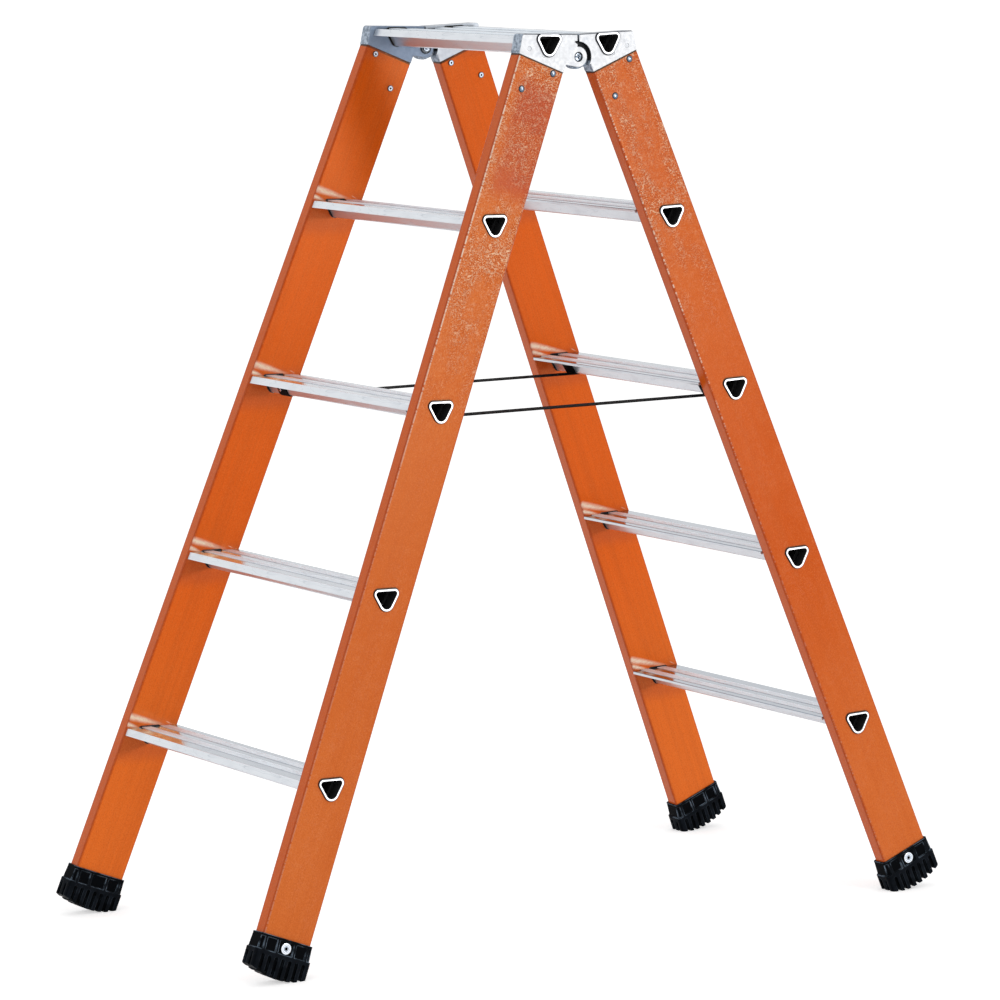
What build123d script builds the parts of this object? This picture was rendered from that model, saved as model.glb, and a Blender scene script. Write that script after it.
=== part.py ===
from build123d import *
from math import acos, asin, atan, cos, degrees, radians, sin, sqrt, tan
import os

# Fibreglass double-sided step ladder, opened, in millimetres. +Z is up and the floor is z = 0.
# The flights open along X: the front flight stands at -X, the rear one at +X. Treads run along Y.
# Left and right are those of a climber who faces the flight.
# Each flight is drawn at +X. The front one is then turned half a turn about Z, so that the right
# side of both flights is drawn at +Y.
# "Down" is a distance along the flight from the level of the top tread, and "out" a distance
# square to the flight from the stile's axis, positive on the climber's side.

# Stance of a flight
lean = 21.65  # degrees from the vertical
splay = 2.986  # degrees that each stile stands out sideways
axis_offset = 47.5  # mid-plane to the stile's axis, at the top tread
top_half_width = 195.7  # mid-plane to a stile's outer face, at the top tread

# Treads
step_count = 4  # treads below the top one
step_pitch = 250.0
top_pitch = 246.0  # from the top tread to the next
top_inset = 2.0  # the top tread lies this far inside the stile's axis
tread_tilt = 1.8  # degrees, front edge up
tread_depth = 80.0
tread_back = 43.4  # tube centre to the rear edge
plate_top = 9.5  # above the tube centre
plate_thickness = 2.4
lip_height = 9.2
lip_thickness = 2.5
nose_radius = 1.0
bead_height = 4.2
bead_width = 3.4
bead_radius = 1.2
band_width = 14.4  # each of the two fluted bands
band_gap = 14.4  # smooth strip between them
band_start = 12.8  # rear edge to the first fluted band
band_rise = 0.8
flute_count = 6  # to a band
flute_depth = 0.6

# Tread tube, a triangle with its point down, its rolled ends and its holes
tube_width = 32.0
tube_height = 27.3
tube_cover = 0.5  # of the plate's metal over the tube's outside
tube_top_radius = 2.2
tube_point_radius = 5.0
end_point_radius = 7.0  # blunter where the end is expanded
tube_wall = 2.0
sleeve_bore = 1.5  # the end is expanded inside the stile until its bore is this much past the tube's outside
sleeve_wall = 1.3
sleeve_start = 2.0  # inside the stile's inner face
sleeve_ring = 2.0  # length of the step from tube to sleeve
flange_width = 4.2  # past the tube's outside
flange_thickness = 1.8
flange_round = 0.8
tread_end_gap = 0.3

# Stiles
stile_depth = 73.0
stile_thickness = 21.0
stile_wall = 3.0
stile_corner = 2.5
stile_inner_corner = 1.0
stile_start = 26.8  # down
stile_end = 1227.0  # down

# Hinge heads
pivot_drop = 18.0  # below the top tread's level, on the mid-plane
head_rise = 13.6  # above the top tread's tube centre
head_nose_setback = 5.44  # of the front top corner, from the stile's front edge
head_nose_radius = 5.0
head_heel = 11.4  # the head's heel goes on up the line of the stile's inner edge
head_stop_gap = 2.6  # between the stop faces of the two flights
head_stop_radius = 2.5
head_round = 0.8
head_seat_gap = 0.4
lug_radius = 13.2
lug_thickness = 6.0
lug_clearance = 6.4
tongue_radius = 16.0
tongue_clearance = 1.5
tongue_side_clearance = 0.3
relief_rise = 20.3  # wedge of air under the fork's stop: its height above the pivot
relief_reach = 7.4  # its length, from the mid-plane
relief_round = 0.8
spigot_length = 55.2
spigot_clearance = 0.2
spigot_wall = 3.0
spigot_root = 6.0
ejector_radius = 3.0
ejector_depth = 0.3

# Hinge pins
pin_radius = 4.5
pin_running_clearance = 0.05
pin_head_radius = 6.0
pin_head_height = 2.4
pin_recess = 1.2
pin_recess_clearance = 0.3
collar_radius = 8.0
collar_height = 2.5
pin_tail = 1.2
pin_socket_radius = 2.4
pin_socket_depth = 1.4

# Rivets through stile and spigot
rivet_radius = 2.5
rivet_dome_radius = 4.6
rivet_dome_height = 2.4
rivet_tail_radius = 4.0
rivet_tail_height = 1.6
rivet_bore_radius = 1.5
rivet_bore_depth = 8.0
upper_rivet_drop = 6.7  # below the stile's cut end
upper_rivet_edge = 15.5  # from the stile's front or rear edge
lower_rivet_drop = 41.7
lower_rivet_edge = 18.0

# Rubber shoes
shoe_grip = 33.6  # length of stile inside the shoe
collar_length = 20.0
collar_wall = 2.0
collar_corner = 3.0
rim_height = 3.4
rim_step = 0.7
inner_rib_out = 12.7  # two wedge ribs on each side of the shoe rivet
outer_rib_edge = 4.5  # from the stile's edge
rib_width = 3.8
flare_step = 1.5  # the collar's narrow sides flare out to this far inside the band's edge
shoe_band_wall = 5.5  # beyond the stile's edges
shoe_band_cheek = 4.5  # beyond the stile's broad faces
shoe_band_corner = 5.0
sole_rubber = 18.0  # below the stile's end
sole_radius = 100.0
sole_flat = 0.8  # worn flat where it stands
groove_count = 7
groove_pitch = 10.35
groove_width = 5.2
groove_depth = 3.0
groove_start = 4.8  # below the top of the band
end_groove_out = 5.6  # two grooves on each narrow side
end_groove_width = 4.6
end_groove_depth = 2.4

# Shoe rivets
shoe_rivet_radius = 3.2
shoe_rivet_margin = 0.9  # between its flange and the rim above or the band below
shoe_rivet_height = 1.5
shoe_rivet_round = 0.6
shoe_rivet_bore = 2.0
shoe_rivet_tail = 4.6
shoe_rivet_tail_height = 2.0

# Spreader straps
strap_tread_count = 2  # treads down from the top one to the straps
strap_inset = 36.5  # stile's inner face to the strap's middle
strap_width = 24.0
strap_thickness = 1.6
strap_gap = 0.1
strap_run_gap = 0.3
eyelet_shift = 5.0  # from the strap's middle, towards the stile
eyelet_radius = 4.0
eyelet_height = 0.8
eyelet_barrel_radius = 2.8
eyelet_bore_radius = 2.0
eyelet_reach = 1.0  # past the inside of the tube's wall

# Fits between pieces of one flight
seat_gap = 0.05
hole_clearance = 0.05

# Worked out from the sizes above
lean_angle = radians(lean)
splay_angle = radians(splay)
tube_angle = atan(tube_width / 2 / tube_height)
tube_top = plate_top - tube_cover
sleeve_outside = sleeve_bore + sleeve_wall
shoe_top = stile_end - shoe_grip
shoe_rivet_drop = (rim_height + collar_length) / 2
shoe_rivet_flange = (collar_length - rim_height) / 2 - shoe_rivet_margin
shoe_band_depth = stile_depth + 2 * shoe_band_wall
shoe_band_thickness = stile_thickness + 2 * shoe_band_cheek
sole_centre = stile_end + sole_rubber - sole_radius
top_level = sole_centre * cos(lean_angle) + sole_radius - sole_flat
pivot_level = top_level - pivot_drop
reach = 4 * stile_depth
span = 2 * (top_half_width + stile_end * tan(splay_angle))
flight = Location((axis_offset, 0, top_level), (0, -lean, 0))
half_turn = Location((0, 0, 0), (0, 0, 180))


def flight_point(down, out):
    """Global x and z of a point of the flight's side view."""
    x = axis_offset + down * sin(lean_angle) + out * cos(lean_angle)
    z = top_level - down * cos(lean_angle) + out * sin(lean_angle)
    return x, z


def outer_half(down):
    """Mid-plane to the outer face of a stile."""
    return top_half_width + down * tan(splay_angle)


def inner_half(down):
    """Mid-plane to the inner face of a stile."""
    return outer_half(down) - stile_thickness / cos(splay_angle)


def head_outer(down):
    """Mid-plane to the outer face of a head, which stands upright."""
    return outer_half(stile_start)


def head_inner(down):
    """Mid-plane to the inner face of a head."""
    return head_outer(down) - stile_thickness


def stile_place(side, down, out=0.0):
    """Place on a stile's own axis, with its Y across the stile and its Z up the stile."""
    middle = top_half_width - stile_thickness / 2 / cos(splay_angle)
    stile = Location((0, side * middle, 0), (side * splay, 0, 0))
    return flight * stile * Pos(out, 0, -down / cos(splay_angle))


def face_place(side, down, out, height):
    """Place whose Z points squarely out of a stile, at a height above the stile's middle plane."""
    return stile_place(side, down, out) * Location((0, side * height, 0), (-90 * side, 0, 0))


def tread_place(down, out):
    """Place of a tread's tube centre, tilted with the tread."""
    x, z = flight_point(down, out)
    return Location((x, 0, z), (0, -tread_tilt, 0))


def prism(section, half_length):
    """Section of the X and Z directions, drawn out along Y to both sides."""
    return extrude(Plane.XZ * section, half_length, both=True)


def slab(low, high):
    """Slice of the flight from one distance down to another."""
    box = Box(2 * reach, 2 * span, high - low)
    return flight * Pos(0, 0, -(low + high) / 2) * box


def between(half, grow, down):
    """Space between the two faces that stand half(down) from the mid-plane, near one tread."""
    low = down - reach
    high = down + reach
    near = half(low) + grow
    far = half(high) + grow
    wedge = Polygon((-near, -low), (-far, -high), (far, -high), (near, -low), align=None)
    return flight * extrude(Plane.YZ * wedge, 2 * reach, both=True)


def tube_outline(grow, point_radius=tube_point_radius):
    """The tube's outside, a triangle with round corners, grown evenly."""
    point = tube_top - tube_height - grow / sin(tube_angle)
    top = tube_top + grow
    half = (top - point) * tan(tube_angle)
    outline = Polygon((-half, top), (0, point), (half, top), align=None)
    sharpest = tube_wall / 4
    low = outline.vertices().sort_by(Axis.Y)[0]
    outline = fillet(low, max(point_radius + grow, sharpest))
    high = outline.vertices().group_by(Axis.Y)[-1]
    return fillet(high, max(tube_top_radius + grow, sharpest))


def end_outline(grow):
    """The same triangle at the tube's expanded end."""
    return tube_outline(grow, end_point_radius)


def fluted_band(start):
    """One raised band of the plate's top, with fine flutes along the tread."""
    pitch = band_width / flute_count
    crest = plate_top + band_rise
    points = [(start, plate_top - plate_thickness / 2)]
    for flute in range(flute_count):
        left = start + flute * pitch
        points.append((left, crest - flute_depth))
        points.append((left + pitch / 4, crest))
        points.append((left + 3 * pitch / 4, crest))
    points.append((start + band_width, crest - flute_depth))
    points.append((start + band_width, plate_top - plate_thickness / 2))
    return Polygon(*points, align=None)


def tread_section():
    """Extrusion's section: plate, nosing, rear bead, fluted bands and tube."""
    slope = tan(radians(lean - tread_tilt))
    rear = -tread_back
    front = tread_depth - tread_back
    under = plate_top - plate_thickness
    lip_foot = plate_top - lip_height
    plate = Polygon(
        (rear, plate_top),
        (rear, plate_top - bead_height),
        (rear + bead_width, plate_top - bead_height),
        (rear + bead_width, under),
        (front - lip_thickness - slope * (under - lip_foot), under),
        (front - lip_thickness, lip_foot),
        (front, lip_foot),
        (front - slope * lip_height, plate_top),
        align=None,
    )
    bead_corners = plate.vertices().group_by(Axis.X)[0]
    plate = fillet(bead_corners, bead_radius)
    nose = plate.vertices().group_by(Axis.Y)[-1].sort_by(Axis.X)[-1]
    plate = fillet(nose, nose_radius)
    section = plate + tube_outline(0)
    for band in range(2):
        section += fluted_band(rear + band_start + band * (band_width + band_gap))
    return section - tube_outline(-tube_wall)


def rolled_ends(place, inner, outer, down):
    """The tube's two ends: expanded inside the stile and rolled over outside it."""
    step = place * prism(end_outline(sleeve_outside) - tube_outline(0), span)
    sleeve = place * prism(end_outline(sleeve_outside) - end_outline(sleeve_bore), span)
    flange = place * prism(end_outline(flange_width) - end_outline(sleeve_bore), span)
    start = between(inner, sleeve_start, down)
    root = between(outer, seat_gap, down)
    rim = between(outer, seat_gap + flange_thickness, down)
    step = (step & between(inner, sleeve_start + sleeve_ring, down)) - start
    sleeve = (sleeve & rim) - start + step
    flange = (flange & rim) - root
    for ring in flange.solids():
        faces = ring.faces().sort_by(Axis.Y)
        face = faces[-1] if ring.center().Y > 0 else faces[0]
        sleeve += fillet(face.edges(), flange_round)
    return sleeve


def tread(down, out, inner, outer):
    """One tread, between the faces that hold it."""
    place = tread_place(down, out)
    plate = place * prism(tread_section(), span)
    plate = plate & between(inner, -tread_end_gap, down)
    tube = place * prism(tube_outline(0) - tube_outline(-tube_wall), span)
    tube = tube & between(inner, sleeve_start + sleeve_ring, down)
    return plate + tube + rolled_ends(place, inner, outer, down)


def tread_hole(down, out):
    """Hole for a tread's expanded end."""
    return tread_place(down, out) * prism(end_outline(sleeve_outside + hole_clearance), span)


def head_rivet_places(side):
    """Where a stile's two head rivets go: one near each edge, handed by side."""
    upper = (stile_start + upper_rivet_drop, -side * (stile_depth / 2 - upper_rivet_edge))
    lower = (stile_start + lower_rivet_drop, side * (stile_depth / 2 - lower_rivet_edge))
    return upper, lower


def cross_hole(side, down, out, radius):
    """Round hole square through a stile."""
    return face_place(side, down, out, 0) * Cylinder(radius, 2 * stile_thickness)


def stile(side):
    """Hollow fibreglass box, square cut at both ends, with holes for treads and rivets."""
    outside = RectangleRounded(stile_depth, stile_thickness, stile_corner)
    inside = RectangleRounded(
        stile_depth - 2 * stile_wall, stile_thickness - 2 * stile_wall, stile_inner_corner
    )
    length = stile_end + reach
    box = stile_place(side, stile_end + reach / 2) * extrude(outside - inside, length)
    box = box & slab(stile_start, stile_end)
    for down in step_downs:
        box -= tread_hole(down, 0)
    for down, out in head_rivet_places(side):
        box -= cross_hole(side, down, out, rivet_radius + hole_clearance)
    shaft = Cylinder(shoe_rivet_radius + hole_clearance, stile_thickness)
    return box - face_place(side, shoe_top + shoe_rivet_drop, 0, stile_thickness / 2) * shaft


def tangent_point(x, z, radius, turn):
    """Lower (turn -1) or upper (turn 1) point where the line from (x, z) touches a circle about the pivot."""
    distance = sqrt(x * x + (z - pivot_level) ** 2)
    angle = asin((z - pivot_level) / distance) + turn * acos(radius / distance)
    return radius * cos(angle), pivot_level + radius * sin(angle)


def head_profile(radius):
    """A head's side view, with a knuckle of that radius round the pivot."""
    centre_x, centre_z = flight_point(0, -top_inset)
    slope = tan(radians(tread_tilt))
    rise = head_rise / cos(radians(tread_tilt))
    stop = head_stop_gap / 2
    seat = stile_start - head_seat_gap
    heel = flight_point(stile_start - head_heel, -stile_depth / 2)
    front = flight_point(seat, stile_depth / 2)
    nose = front[0] - head_nose_setback
    profile = Polygon(
        front,
        (nose, centre_z + rise + (nose - centre_x) * slope),
        (stop, centre_z + rise + (stop - centre_x) * slope),
        (stop, pivot_level),
        tangent_point(*heel, radius, -1),
        heel,
        flight_point(seat, -stile_depth / 2),
        align=None,
    )
    top_corners = profile.vertices().sort_by(Axis.Y)[-2:].sort_by(Axis.X)
    profile = fillet(top_corners[1], head_nose_radius)
    stop_corner = profile.vertices().group_by(Axis.X)[0].sort_by(Axis.Y)[-1]
    profile = fillet(stop_corner, head_stop_radius)
    return profile + Pos(0, pivot_level) * Circle(radius)


def relief_profile():
    """Side view of the wedge of air between the fork's stop and its lugs."""
    hook = (relief_reach, pivot_level + relief_rise)
    touch = tangent_point(*hook, lug_radius, 1)
    wedge = Polygon(hook, (touch[0], hook[1]), touch, align=None)
    return fillet(wedge.vertices().sort_by(Axis.X)[-1], relief_round)


def disc(radius, half_length):
    """Round disc about the hinge's axis."""
    return prism(Pos(0, pivot_level) * Circle(radius), half_length)


def spigot(side):
    """Hollow tail of a head, inside the stile."""
    depth = stile_depth - 2 * stile_wall - 2 * spigot_clearance
    thickness = stile_thickness - 2 * stile_wall - 2 * spigot_clearance
    length = spigot_length + spigot_root
    foot = stile_place(side, stile_start + spigot_length)
    outside = RectangleRounded(depth, thickness, stile_inner_corner + spigot_clearance)
    inside = Rectangle(depth - 2 * spigot_wall, thickness - 2 * spigot_wall)
    return foot * (extrude(outside, length) - extrude(inside, spigot_length - spigot_root))


def head_blank(side, radius):
    """A head before its knuckle is cut: casting with rounded edges, spigot and holes."""
    middle = Pos(0, side * (head_outer(0) - stile_thickness / 2), 0)
    body = prism(head_profile(radius), stile_thickness / 2)
    faces = body.faces().sort_by(Axis.Y)
    body = fillet(faces[0].edges() + faces[-1].edges(), head_round)
    body = middle * body + spigot(side)
    body -= tread_hole(0, -top_inset)
    for down, out in head_rivet_places(side):
        body -= cross_hole(side, down, out, rivet_radius + hole_clearance)
    mark = Cylinder(ejector_radius, 2 * ejector_depth)
    for down, out in ((stile_start - head_heel, stile_depth / 3), (stile_start - head_heel, 0)):
        x, z = flight_point(down, out)
        body -= Location((x, side * head_outer(0), z), (90, 0, 0)) * mark
    return middle, body


def fork_head(side):
    """Front flight's head: two lugs either side of the tongue, with a recess for the pin's head."""
    middle, body = head_blank(side, lug_radius)
    slot = stile_thickness / 2 - lug_thickness
    body -= middle * disc(tongue_radius + tongue_clearance, slot)
    body -= middle * disc(pin_radius + hole_clearance, stile_thickness)
    recess = pin_head_height + pin_recess
    outside = Pos(0, side * head_outer(0), 0)
    body -= outside * disc(pin_head_radius + pin_recess_clearance, recess)
    return body - middle * (prism(relief_profile(), stile_thickness) - disc(lug_radius, stile_thickness))


def tongue_head(side):
    """Rear flight's head: a single tongue, with round seats that clear the fork's lugs."""
    middle, body = head_blank(side, tongue_radius)
    half_tongue = stile_thickness / 2 - lug_thickness - tongue_side_clearance
    seats = disc(lug_radius + lug_clearance, stile_thickness) - disc(stile_depth, half_tongue)
    body -= middle * seats
    return body - middle * disc(pin_radius + pin_running_clearance, stile_thickness)


def pin_place(side, height):
    """Place on the hinge's axis whose Z points outwards, at a height above the head's outer face."""
    y = side * (head_outer(0) + height)
    return Location((0, y, pivot_level), (-90 * side, 0, 0))


def hinge_pin(side):
    """Headed pin, with a round socket in its head and a tail that is peened over its collar."""
    length = stile_thickness + collar_height + pin_tail
    shank = Pos(0, 0, -length / 2) * Cylinder(pin_radius, length)
    seat = pin_recess + pin_head_height - seat_gap
    shank -= Pos(0, 0, -pin_head_height / 2) * Cylinder(pin_radius, pin_head_height)
    head = Pos(0, 0, -seat / 2 - pin_recess / 2) * Cylinder(pin_head_radius, seat - pin_recess)
    head = fillet(head.edges().sort_by(Axis.Z)[-1], head_round)
    socket = Cylinder(pin_socket_radius, 2 * (pin_recess + pin_socket_depth))
    return pin_place(side, 0) * (shank + head - socket)


def pin_collar(side):
    """Ring on the pin's inner end."""
    ring = Cylinder(collar_radius, collar_height)
    ring = fillet(ring.edges().sort_by(Axis.Z)[0], head_round)
    ring -= Cylinder(pin_radius + hole_clearance, 2 * collar_height)
    return pin_place(side, -stile_thickness - seat_gap - collar_height / 2) * ring


def head_rivet(side, down, out):
    """Dome outside, open tail inside."""
    ball = (rivet_dome_radius ** 2 + rivet_dome_height ** 2) / 2 / rivet_dome_height
    dome = Pos(0, 0, rivet_dome_height / 2) * Cylinder(rivet_dome_radius, rivet_dome_height)
    dome = dome & Pos(0, 0, rivet_dome_height - ball) * Sphere(ball)
    length = stile_thickness + 2 * seat_gap + rivet_tail_height
    shank = Pos(0, 0, -length / 2) * Cylinder(rivet_radius, length)
    tail = Pos(0, 0, rivet_tail_height / 2 - length) * Cylinder(rivet_tail_radius, rivet_tail_height)
    bore = Pos(0, 0, -length) * Cylinder(rivet_bore_radius, 2 * rivet_bore_depth)
    rivet = dome + shank + tail - bore
    return face_place(side, down, out, stile_thickness / 2 + seat_gap) * rivet


def head_rivets(side):
    """A stile's two head rivets."""
    return Compound([head_rivet(side, down, out) for down, out in head_rivet_places(side)])


def shoe_blank(side):
    """Collar with its rim and wedge ribs, and the thicker band below, before it is hollowed."""
    depth = stile_depth + 2 * collar_wall
    thickness = stile_thickness + 2 * collar_wall
    shoulder = shoe_top + collar_length
    rim_foot = shoe_top + rim_height
    collar = RectangleRounded(depth, thickness, collar_corner)
    rim = RectangleRounded(depth + 2 * rim_step, thickness + 2 * rim_step, collar_corner + rim_step)
    band = RectangleRounded(shoe_band_depth, shoe_band_thickness, shoe_band_corner)
    blank = stile_place(side, shoulder) * extrude(collar, collar_length)
    blank += stile_place(side, rim_foot) * extrude(rim, rim_height)
    blank += stile_place(side, shoulder) * extrude(band, -(stile_end + 2 * sole_rubber - shoulder))
    wedge = Polygon(
        (0, 0),
        (0, collar_length - rim_height),
        (thickness / 2 + rim_step, collar_length - rim_height),
        (shoe_band_thickness / 2, 0),
        align=None,
    )
    rib = extrude(Plane.YZ * wedge, rib_width / 2, both=True)
    outer_rib_out = stile_depth / 2 - outer_rib_edge
    for out in (-outer_rib_out, -inner_rib_out, inner_rib_out, outer_rib_out):
        blank += stile_place(side, shoulder, out) * rib
        blank += stile_place(side, shoulder, out) * Rot(0, 0, 180) * rib
    flare = Polygon(
        (-shoe_band_depth / 2 + flare_step, 0),
        (-depth / 2 - rim_step, collar_length - rim_height),
        (depth / 2 + rim_step, collar_length - rim_height),
        (shoe_band_depth / 2 - flare_step, 0),
        align=None,
    )
    return blank + stile_place(side, shoulder) * prism(flare, stile_thickness / 2)


def groove(width, depth, length):
    """Groove with a round top at the origin, cut into a wall that faces along Y."""
    outline = Circle(width / 2) + Pos(0, -length / 2) * Rectangle(width, length)
    return prism(outline, depth)


def shoe_grooves(side):
    """Grooves down the sides of the band and across the sole."""
    start = shoe_top + collar_length + groove_start + groove_width / 2
    length = 4 * sole_rubber
    cuts = []
    for index in range(groove_count):
        out = (index - (groove_count - 1) / 2) * groove_pitch
        broad = groove(groove_width, groove_depth, length)
        for face in (-1, 1):
            cuts.append(stile_place(side, start, out) * Pos(0, face * shoe_band_thickness / 2, 0) * broad)
        sole = sole_centre + sqrt(sole_radius ** 2 - out ** 2) - groove_depth
        notch = Box(groove_width, 2 * shoe_band_thickness, length)
        cuts.append(stile_place(side, sole + length / 2, out) * notch)
    narrow = Rot(0, 0, 90) * groove(end_groove_width, end_groove_depth, length)
    for end in (-1, 1):
        for face in (-1, 1):
            shift = Pos(end * shoe_band_depth / 2, face * end_groove_out, 0)
            cuts.append(stile_place(side, start) * shift * narrow)
    return cuts


def shoe(side):
    """Rubber shoe: a pocket for the stile's end, a round grooved sole and a worn flat to stand on."""
    body = shoe_blank(side)
    for cut in shoe_grooves(side):
        body -= cut
    x, z = flight_point(sole_centre, 0)
    sole = Pos(x, z) * Circle(sole_radius)
    body = body & prism(sole, span)
    body = body & Pos(x, 0, top_level / 2) * Box(reach, 2 * span, top_level)
    pocket = RectangleRounded(
        stile_depth + 2 * seat_gap, stile_thickness + 2 * seat_gap, stile_corner + seat_gap
    )
    pocket = stile_place(side, stile_end + reach) * extrude(pocket, stile_end)
    body -= pocket & slab(0, stile_end + seat_gap)
    shaft = Cylinder(shoe_rivet_radius + hole_clearance, shoe_band_thickness)
    return body - face_place(side, shoe_top + shoe_rivet_drop, 0, stile_thickness) * shaft


def shoe_rivet(side):
    """Flanged rivet that holds the shoe on the stile, with a wide tail inside the stile."""
    face = stile_thickness / 2 + collar_wall + seat_gap
    flange = Pos(0, 0, shoe_rivet_height / 2) * Cylinder(shoe_rivet_flange, shoe_rivet_height)
    flange = fillet(flange.edges().sort_by(Axis.Z)[-1], shoe_rivet_round)
    grip = collar_wall + stile_wall + 2 * seat_gap
    length = grip + shoe_rivet_tail_height
    shank = Pos(0, 0, -length / 2) * Cylinder(shoe_rivet_radius, length)
    tail = Pos(0, 0, shoe_rivet_tail_height / 2 - length)
    tail = tail * Cylinder(shoe_rivet_tail, shoe_rivet_tail_height)
    bore = Cylinder(shoe_rivet_bore, 4 * length)
    return face_place(side, shoe_top + shoe_rivet_drop, 0, face) * (flange + shank + tail - bore)


def strap_middle(side):
    """Y of a strap's middle."""
    return side * (inner_half(strap_down) - strap_inset)


def eyelet_place(side):
    """Place on the tube's front face whose Z points squarely out of it."""
    along = tube_height / cos(tube_angle) / 2
    x = along * sin(tube_angle)
    z = tube_top - tube_height + along * cos(tube_angle)
    y = strap_middle(side) + side * eyelet_shift
    return tread_place(strap_down, 0) * Location((x, y, z), (0, 90 + degrees(tube_angle), 0))


def eyelet_hole(side):
    """Hole for an eyelet, through the strap and the tube's wall."""
    return eyelet_place(side) * Cylinder(eyelet_barrel_radius + hole_clearance, 4 * eyelet_radius)


def strap_loop(side):
    """End of a strap, drawn tight round the tube's two faces and point."""
    outside = strap_gap + strap_thickness
    band = tube_outline(outside) - tube_outline(strap_gap)
    height = plate_top - plate_thickness - 2 * strap_gap
    below = Pos(0, height - tube_height) * Rectangle(2 * tube_width, 2 * tube_height)
    place = tread_place(strap_down, 0) * Pos(0, strap_middle(side), 0)
    return place * prism(band & below, strap_width / 2) - eyelet_hole(side)


def strap_run(side):
    """The strap between the flights, pulled straight under the points of the two tubes."""
    point = tube_top - tube_height + tube_point_radius / sin(tube_angle)
    centre = tread_place(strap_down, 0) * Pos(0, 0, point)
    inside = tube_point_radius + strap_gap
    outside = inside + strap_thickness
    end = centre.position.X - sqrt(outside ** 2 - inside ** 2) - strap_run_gap
    height = centre.position.Z - (inside + outside) / 2
    return Pos(0, strap_middle(side), height) * Box(2 * end, strap_width, strap_thickness)


def strap_eyelet(side):
    """Eyelet pressed through a strap's end into the tube."""
    lift = strap_gap + strap_thickness + seat_gap
    washer = Pos(0, 0, lift + eyelet_height / 2) * Cylinder(eyelet_radius, eyelet_height)
    washer = fillet(washer.edges().sort_by(Axis.Z)[-1], eyelet_height / 2)
    depth = tube_wall + eyelet_reach
    barrel = Pos(0, 0, (lift - depth) / 2) * Cylinder(eyelet_barrel_radius, lift + depth)
    bore = Cylinder(eyelet_bore_radius, 4 * eyelet_radius)
    return eyelet_place(side) * (washer + barrel - bore)


def step_tread(down):
    """A tread between the stiles, drilled for the strap eyelets where it carries them."""
    step = tread(down, 0, inner_half, outer_half)
    if down == strap_down:
        step = step - eyelet_hole(-1) - eyelet_hole(1)
    return step


step_downs = [top_pitch + step * step_pitch for step in range(step_count)]
strap_down = step_downs[:strap_tread_count][-1]

# Pieces that are the same on both flights, drawn at +X
flight_pieces = {}
for hand, side in (("right", 1), ("left", -1)):
    flight_pieces[hand + "_stile"] = stile(side)
    flight_pieces[hand + "_head_rivets"] = head_rivets(side)
    flight_pieces[hand + "_shoe"] = shoe(side)
    flight_pieces[hand + "_shoe_rivet"] = shoe_rivet(side)
    flight_pieces[hand + "_strap_loop"] = strap_loop(side)
flight_pieces["top_tread"] = tread(0, -top_inset, head_inner, head_outer)
for step, down in enumerate(step_downs):
    flight_pieces[f"tread_{step_count - step}"] = step_tread(down)
flight_pieces["strap_eyelets"] = Compound([strap_eyelet(-1), strap_eyelet(1)])

# The whole ladder. A strap and a hinge are named by the side of the front flight they are on.
pieces = {}
for name, shape in flight_pieces.items():
    pieces["rear_" + name] = shape
    pieces["front_" + name] = half_turn * shape
for hand, side in (("right", 1), ("left", -1)):
    pieces[f"rear_{hand}_hinge_head"] = tongue_head(side)
    pieces[f"front_{hand}_hinge_head"] = half_turn * fork_head(side)
    pieces[f"{hand}_hinge_pin"] = half_turn * hinge_pin(side)
    pieces[f"{hand}_pin_collar"] = half_turn * pin_collar(side)
    pieces[f"{hand}_strap"] = half_turn * strap_run(side)

os.makedirs("parts", exist_ok=True)
for name, shape in pieces.items():
    export_step(shape, f"parts/{name}.step")
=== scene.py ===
from math import atan, atan2, cos, dist, radians, sin, sqrt, tan

import bpy
import numpy as np
from mathutils import Matrix, Vector


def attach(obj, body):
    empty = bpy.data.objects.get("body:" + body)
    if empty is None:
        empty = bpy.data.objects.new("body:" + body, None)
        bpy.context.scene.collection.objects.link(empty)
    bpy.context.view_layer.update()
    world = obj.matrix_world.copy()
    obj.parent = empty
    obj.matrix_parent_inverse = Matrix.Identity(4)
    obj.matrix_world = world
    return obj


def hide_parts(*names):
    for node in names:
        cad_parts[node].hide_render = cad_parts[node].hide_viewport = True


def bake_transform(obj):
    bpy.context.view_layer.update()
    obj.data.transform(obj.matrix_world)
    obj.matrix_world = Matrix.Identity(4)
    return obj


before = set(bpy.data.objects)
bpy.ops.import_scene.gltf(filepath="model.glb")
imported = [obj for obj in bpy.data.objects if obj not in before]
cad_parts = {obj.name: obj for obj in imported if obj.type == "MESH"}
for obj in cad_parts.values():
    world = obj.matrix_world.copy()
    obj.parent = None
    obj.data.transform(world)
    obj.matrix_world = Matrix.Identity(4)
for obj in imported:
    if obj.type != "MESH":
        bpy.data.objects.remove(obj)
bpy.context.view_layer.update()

scene = bpy.context.scene
scene.view_settings.view_transform = "Standard"


# Studio
# A seamless pale floor and a white surround, lit by one softbox low on the camera's right and a narrow strip
# on the left that picks out the edges. The surround is white to the eye and in mirrors.

def node(tree, kind, inputs=None, **settings):
    """One shader node: settings are its properties, inputs are values or the sockets that feed it."""
    made = tree.nodes.new(kind)
    for key, value in settings.items():
        setattr(made, key, value)
    for key, value in (inputs or {}).items():
        if isinstance(value, bpy.types.NodeSocket):
            tree.links.new(value, made.inputs[key])
        else:
            made.inputs[key].default_value = value
    return made


def math_node(tree, operation, first, second=0.0, clamp=False):
    """Result socket of one arithmetic step."""
    made = node(tree, "ShaderNodeMath", {0: first, 1: second}, operation=operation, use_clamp=clamp)
    return made.outputs[0]


def largest(tree, value, *others):
    """The largest of the values."""
    for other in others:
        value = math_node(tree, "MAXIMUM", value, other)
    return value


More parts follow.
